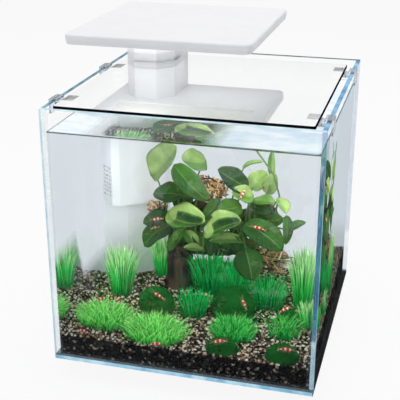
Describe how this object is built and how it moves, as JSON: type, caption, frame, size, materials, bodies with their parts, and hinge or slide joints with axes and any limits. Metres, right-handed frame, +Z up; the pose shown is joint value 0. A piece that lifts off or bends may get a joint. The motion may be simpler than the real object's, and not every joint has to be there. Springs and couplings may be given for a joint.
{
  "type": "aquarium",
  "caption": "Rimless glass cube aquarium on a low white plinth, with a clipped cover glass, corner filter tower, flat lamp on a pillar and a planted gravel bed.",
  "frame": {"origin": "middle of the tank in plan, on the surface that the feet stand on", "axes": "+Z up, +X to the right seen from the front, +Y to the back pane with the filter tower"},
  "size_m": [0.3082, 0.31, 0.3855],
  "materials": {
    "clear_glass": "polished float glass, pale blue-green edges",
    "clear_silicone": "clear silicone",
    "white_plinth": "satin moulded plastic",
    "grey_foam": "closed-cell foam",
    "foot_rubber": "matte rubber",
    "clear_plastic": "clear moulded plastic",
    "tower_white": "satin white moulded plastic",
    "filter_foam": "open-cell foam",
    "pump_black": "matte black plastic",
    "white_ceramic": "ground ceramic",
    "rotor_grey": "moulded magnet and plastic",
    "lamp_white": "satin white moulded plastic",
    "diffuser_white": "frosted",
    "board_metal": "white solder mask on aluminium",
    "chip_yellow": "phosphor",
    "dark_gravel": "dark gravel mixed with tan grains",
    "driftwood_brown": "waterlogged wood",
    "root_tan": "fine dry roots",
    "leaf_green": "waxy leaf",
    "grass_green": "thin blades",
    "moss_green": "felted moss"
  },
  "bodies": {
    "tank": {"floor_pane": "clear_glass", "front_pane": "clear_glass", "back_pane": "clear_glass", "left_pane": "clear_glass", "right_pane": "clear_glass", "silicone_beads": "clear_silicone", "stand_plinth": "white_plinth", "stand_feet": "foot_rubber", "foam_mat": "grey_foam", "clip_front_left": "clear_plastic", "clip_front_right": "clear_plastic", "clip_rear_left": "clear_plastic", "clip_rear_right": "clear_plastic", "filter_column": "tower_white", "filter_head": "tower_white", "filter_cap": "tower_white", "filter_sponge": "filter_foam", "pump_body": "pump_black", "pump_cover": "pump_black", "impeller_shaft": "white_ceramic", "outlet_nozzle": "tower_white", "gravel_bed": "dark_gravel", "driftwood": "driftwood_brown", "roots_right": "root_tan", "roots_top": "root_tan", "roots_left": "root_tan", "broad_leaf_plant": "leaf_green", "grass_tall_middle": "grass_green", "grass_tall_back": "grass_green", "grass_tall_right": "grass_green", "grass_dark_wood": "grass_green", "grass_dark_middle": "grass_green", "grass_dark_front": "grass_green", "grass_dark_right": "grass_green", "grass_low_right": "grass_green", "carpet_left": "grass_green", "carpet_middle": "grass_green", "carpet_right": "grass_green", "carpet_small": "grass_green", "moss_ball_left": "moss_green", "moss_ball_middle": "moss_green", "moss_ball_right": "moss_green", "moss_cushion_left": "moss_green", "moss_cushion_right": "moss_green"},
    "cover": {"cover_glass": "clear_glass"},
    "lamp": {"lamp_pillar": "lamp_white", "lamp_lower_shell": "lamp_white", "lamp_upper_shell": "lamp_white", "lamp_diffuser": "diffuser_white", "led_board": "board_metal", "led_chips": "chip_yellow", "cable_grommet": "foot_rubber"},
    "impeller": {"pump_impeller": "rotor_grey"}
  },
  "joints": [
    {"name": "cover_lift", "type": "slide", "parent": "tank", "child": "cover", "axis": [0, 0, 1], "range_m": [0, 0.04]},
    {"name": "lamp_lift", "type": "slide", "parent": "tank", "child": "lamp", "axis": [0, 0, 1], "range_m": [0, 0.05]},
    {"name": "impeller_spin", "type": "hinge", "parent": "tank", "child": "impeller", "pos_m": [-0.107, 0.105, 0.245], "axis": [0, 0, 1], "continuous": true}
  ]
}
